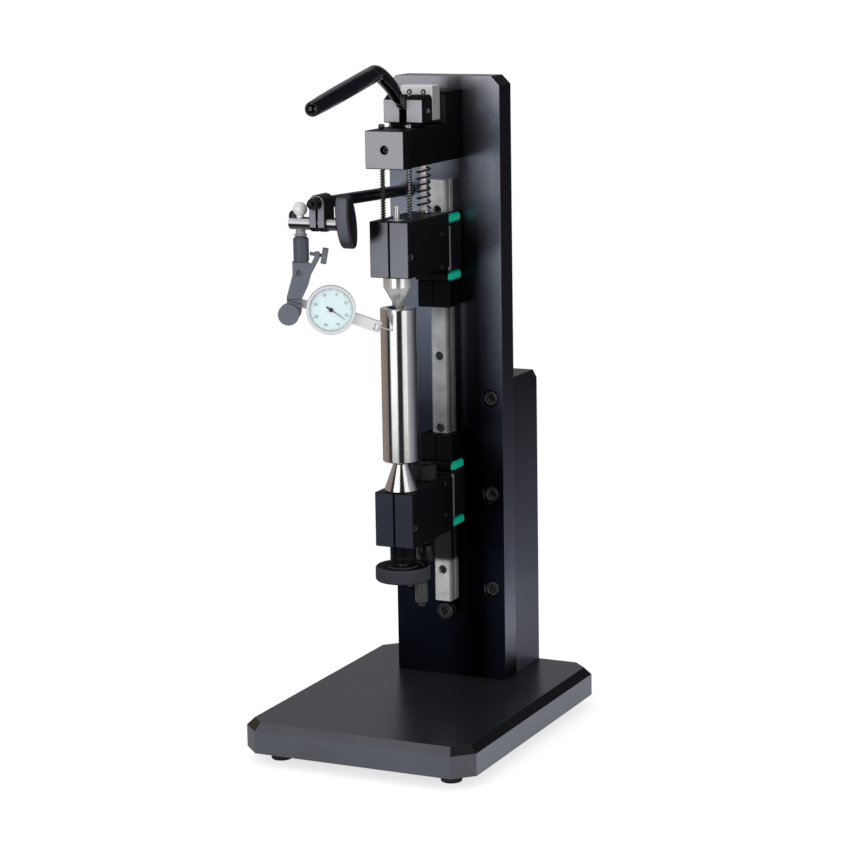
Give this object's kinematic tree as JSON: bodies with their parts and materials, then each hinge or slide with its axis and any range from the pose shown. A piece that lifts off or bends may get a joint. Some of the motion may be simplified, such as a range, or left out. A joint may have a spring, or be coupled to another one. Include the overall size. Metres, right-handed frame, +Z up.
{
  "type": "vertical bench center",
  "caption": "Vertical bench center: a column with a rail, spring-loaded upper center on a lever, lower center with handwheel, test cylinder, and a lever indicator on a jointed arm.",
  "frame": {"origin": "on the surface that the feet stand on, under the middle of the whole object's outline; the base plate's middle lies 21.8 mm behind it", "axes": "+Z up along the column and the centers' axis, -Y to the front where the lever and the centers are, +X to the right of someone who faces the front"},
  "size_m": [0.202, 0.3117, 0.5509],
  "materials": {
    "black_anodised": "black anodised, satin",
    "black_screw": "black oxide",
    "black_sleeve": "glossy black",
    "black_lever": "glossy black lacquer",
    "rail_steel": "ground",
    "lift_block_metal": "natural, satin",
    "bearing_steel": "dark, ground",
    "polished_steel": "hardened, polished",
    "spring_steel": "black oxide wire",
    "seal_plastic": "green, moulded",
    "foot_rubber": "matte",
    "satin_chrome": "satin chrome",
    "dial_face": "pale blue, printed",
    "dial_glass": "clear"
  },
  "bodies": {
    "frame": {"base_plate": "black_anodised", "foot_front_left": "foot_rubber", "foot_front_right": "foot_rubber", "foot_rear_left": "foot_rubber", "foot_rear_right": "foot_rubber", "column_plate": "black_anodised", "rear_stiffener": "black_anodised", "guide_rail": "rail_steel", "stop_screw": "black_screw", "head_arm": "black_anodised", "head_set_screw": "black_screw", "lever_bracket": "black_anodised", "lever_pin": "polished_steel", "upper_rail_clamp": "black_anodised", "arm_root_stud": "polished_steel", "guide_spring_left": "spring_steel", "guide_spring_right": "spring_steel", "lift_spring": "spring_steel"},
    "lever": {"lever_arm": "black_lever", "lever_grip": "black_sleeve"},
    "upper_carriage": {"upper_bearing": "bearing_steel", "upper_seal_top": "seal_plastic", "upper_seal_bottom": "seal_plastic", "upper_holder": "black_anodised", "upper_clamp_screw": "black_screw", "upper_center": "polished_steel", "guide_rod_left": "polished_steel", "guide_rod_right": "polished_steel", "lift_rod": "polished_steel", "lift_spring_washer": "rail_steel", "lift_block": "lift_block_metal"},
    "lower_carriage": {"lower_bearing": "bearing_steel", "lower_seal_top": "seal_plastic", "lower_seal_bottom": "seal_plastic", "lower_holder": "black_anodised", "lower_clamp_screw": "black_screw", "lower_rail_clamp": "black_anodised"},
    "holder_lock": {"holder_lock_screw": "black_screw"},
    "spindle": {"lower_center": "polished_steel", "drive_collar": "black_screw", "handwheel": "black_anodised", "test_mandrel": "polished_steel"},
    "crank": {"crank_grip": "black_sleeve"},
    "swing_rod": {"arm_rod": "black_anodised"},
    "arm_block": {"arm_clamp_block": "black_anodised"},
    "cross_shaft": {"cross_shaft": "black_screw"},
    "lock_paddle": {"arm_lock_paddle": "black_anodised"},
    "swivel": {"swivel_ball_stud": "polished_steel", "swivel_barrel": "black_anodised"},
    "fine_adjustment": {"fine_adjust_body": "black_anodised", "fine_pivot_screw": "polished_steel", "dovetail_clamp": "black_anodised", "indicator_body": "satin_chrome"},
    "thumb_screw": {"fine_adjust_screw": "black_screw"},
    "clamp_knob": {"dovetail_clamp_knob": "black_anodised"},
    "bezel": {"indicator_bezel": "satin_chrome", "indicator_dial": "dial_face", "indicator_glass": "dial_glass"},
    "pointer": {"indicator_pointer": "black_screw"},
    "stylus": {"stylus": "polished_steel"}
  },
  "joints": [
    {"name": "lever_hinge", "type": "hinge", "parent": "frame", "child": "lever", "pos_m": [0, 0.0118, 0.5119], "axis": [1, 0, 0], "range_deg": [0, 28]},
    {"name": "upper_slide", "type": "slide", "parent": "frame", "child": "upper_carriage", "axis": [0, 0, 1], "range_m": [0, 0.01], "stiffness_N_per_m": 600, "springref_m": -0.02, "deforming": ["guide_spring_left", "guide_spring_right", "lift_spring"]},
    {"name": "lower_slide", "type": "slide", "parent": "frame", "child": "lower_carriage", "axis": [0, 0, 1], "range_m": [-0.065, 0]},
    {"name": "holder_lock_turn", "type": "hinge", "parent": "lower_carriage", "child": "holder_lock", "pos_m": [0, 0.0288, 0.2114], "axis": [0, 0, 1], "range_deg": [0, 180]},
    {"name": "spindle_turn", "type": "hinge", "parent": "lower_carriage", "child": "spindle", "pos_m": [0, -0.0132, 0.2114], "axis": [0, 0, 1], "continuous": true},
    {"name": "crank_turn", "type": "hinge", "parent": "spindle", "child": "crank", "pos_m": [0.01649, -0.01363, 0.1286], "axis": [0, 0, 1], "continuous": true},
    {"name": "arm_swing", "type": "hinge", "parent": "frame", "child": "swing_rod", "pos_m": [-0.0335, 0.0683, 0.4425], "axis": [0, 0, 1], "range_deg": [-25, 0]},
    {"name": "arm_block_turn", "type": "hinge", "parent": "swing_rod", "child": "arm_block", "pos_m": [-0.0335, -0.0842, 0.4477], "axis": [0, 0.9994, -0.0341], "range_deg": [-15, 15]},
    {"name": "cross_shaft_turn", "type": "hinge", "parent": "arm_block", "child": "cross_shaft", "pos_m": [-0.0335, -0.0767, 0.4311], "axis": [1, 0, 0], "range_deg": [-20, 0]},
    {"name": "paddle_turn", "type": "hinge", "parent": "cross_shaft", "child": "lock_paddle", "pos_m": [-0.0183, -0.0767, 0.4311], "axis": [1, 0, 0], "range_deg": [-45, 45]},
    {"name": "swivel_turn", "type": "hinge", "parent": "cross_shaft", "child": "swivel", "pos_m": [-0.0517, -0.0767, 0.4258], "axis": [0, 0, 1], "range_deg": [-30, 0]},
    {"name": "fine_tilt", "type": "hinge", "parent": "swivel", "child": "fine_adjustment", "pos_m": [-0.05402, -0.07788, 0.3931], "axis": [-0.454, 0.891, 0], "range_deg": [0, 2.2]},
    {"name": "thumb_screw_turn", "type": "hinge", "parent": "fine_adjustment", "child": "thumb_screw", "pos_m": [-0.03566, -0.06853, 0.4052], "axis": [0.8755, 0.4461, -0.1857], "range_deg": [0, 360]},
    {"name": "clamp_knob_turn", "type": "hinge", "parent": "fine_adjustment", "child": "clamp_knob", "pos_m": [-0.06141, -0.08165, 0.3605], "axis": [0.454, -0.891, 0], "range_deg": [0, 90]},
    {"name": "bezel_turn", "type": "hinge", "parent": "fine_adjustment", "child": "bezel", "pos_m": [-0.03201, -0.06667, 0.3632], "axis": [0.454, -0.891, 0], "continuous": true},
    {"name": "stylus_swing", "type": "hinge", "parent": "fine_adjustment", "child": "stylus", "pos_m": [-0.00217, -0.04585, 0.34823], "axis": [-0.3164, -0.1612, -0.9348], "range_deg": [0, 3], "stiffness_Nm_per_rad": 0.01, "springref_deg": -5.73},
    {"name": "pointer_turn", "type": "hinge", "parent": "fine_adjustment", "child": "pointer", "pos_m": [-0.03201, -0.06667, 0.3632], "axis": [-0.454, 0.891, 0], "range_deg": [0, 181]}
  ],
  "couplings": [
    {"joint": "upper_slide", "follows": "lever_hinge", "m_per_rad": 0.02},
    {"joint": "fine_tilt", "follows": "thumb_screw_turn", "ratio": 0.0057},
    {"joint": "pointer_turn", "follows": "stylus_swing", "ratio": 60}
  ]
}
